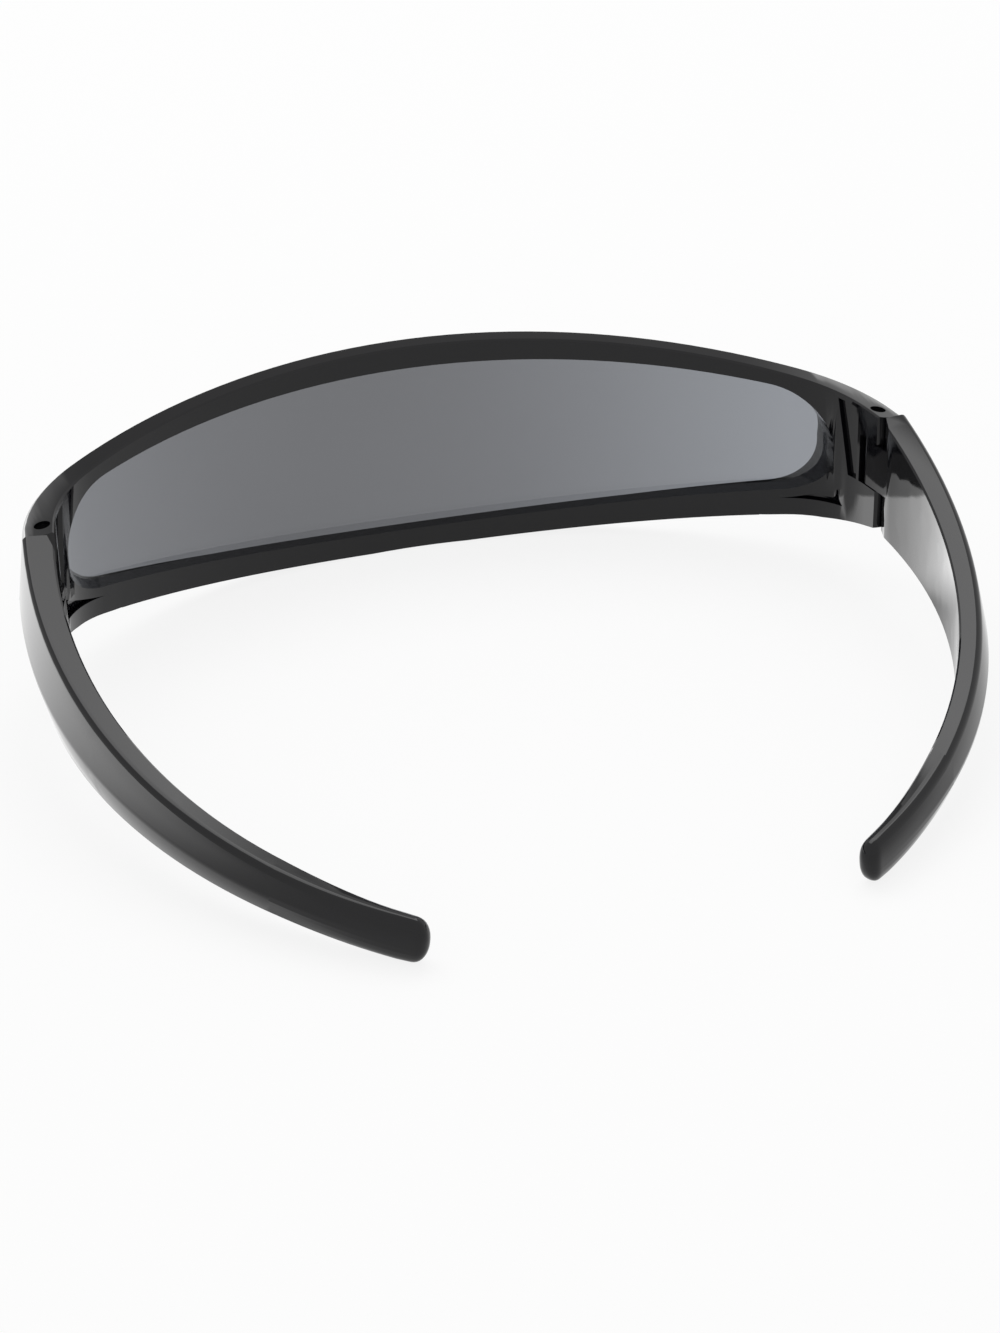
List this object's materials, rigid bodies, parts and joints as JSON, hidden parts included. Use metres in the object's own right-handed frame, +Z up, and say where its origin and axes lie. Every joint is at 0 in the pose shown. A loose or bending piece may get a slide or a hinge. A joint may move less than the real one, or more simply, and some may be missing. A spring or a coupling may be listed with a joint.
{
  "type": "shield sunglasses",
  "caption": "Wrap-around shield sunglasses: a continuous smoke lens in a gloss black full rim, with swept temples that fold on pinned hinges.",
  "frame": {"origin": "on the table, under the middle of the overall box, with the temples open", "axes": "+Z up, the lens faces -Y, the temples run back along +Y, +X is the wearer's left"},
  "size_m": [0.1518, 0.1315, 0.038],
  "materials": {
    "frame": "polished black",
    "temple": "polished black",
    "lens": "polished smoke tint",
    "pin": "plain"
  },
  "bodies": {
    "front": {"front_frame": "frame", "shield_lens": "lens", "left_hinge_pin": "pin", "right_hinge_pin": "pin"},
    "left_temple": {"left_temple": "temple"},
    "right_temple": {"right_temple": "temple"}
  },
  "joints": [
    {"name": "left_temple_fold", "type": "hinge", "parent": "front", "child": "left_temple", "pos_m": [0.07, -0.0245, 0.0228], "axis": [0, 0, 1], "range_deg": [0, 80]},
    {"name": "right_temple_fold", "type": "hinge", "parent": "front", "child": "right_temple", "pos_m": [-0.07, -0.0245, 0.0228], "axis": [0, 0, -1], "range_deg": [0, 60]}
  ]
}
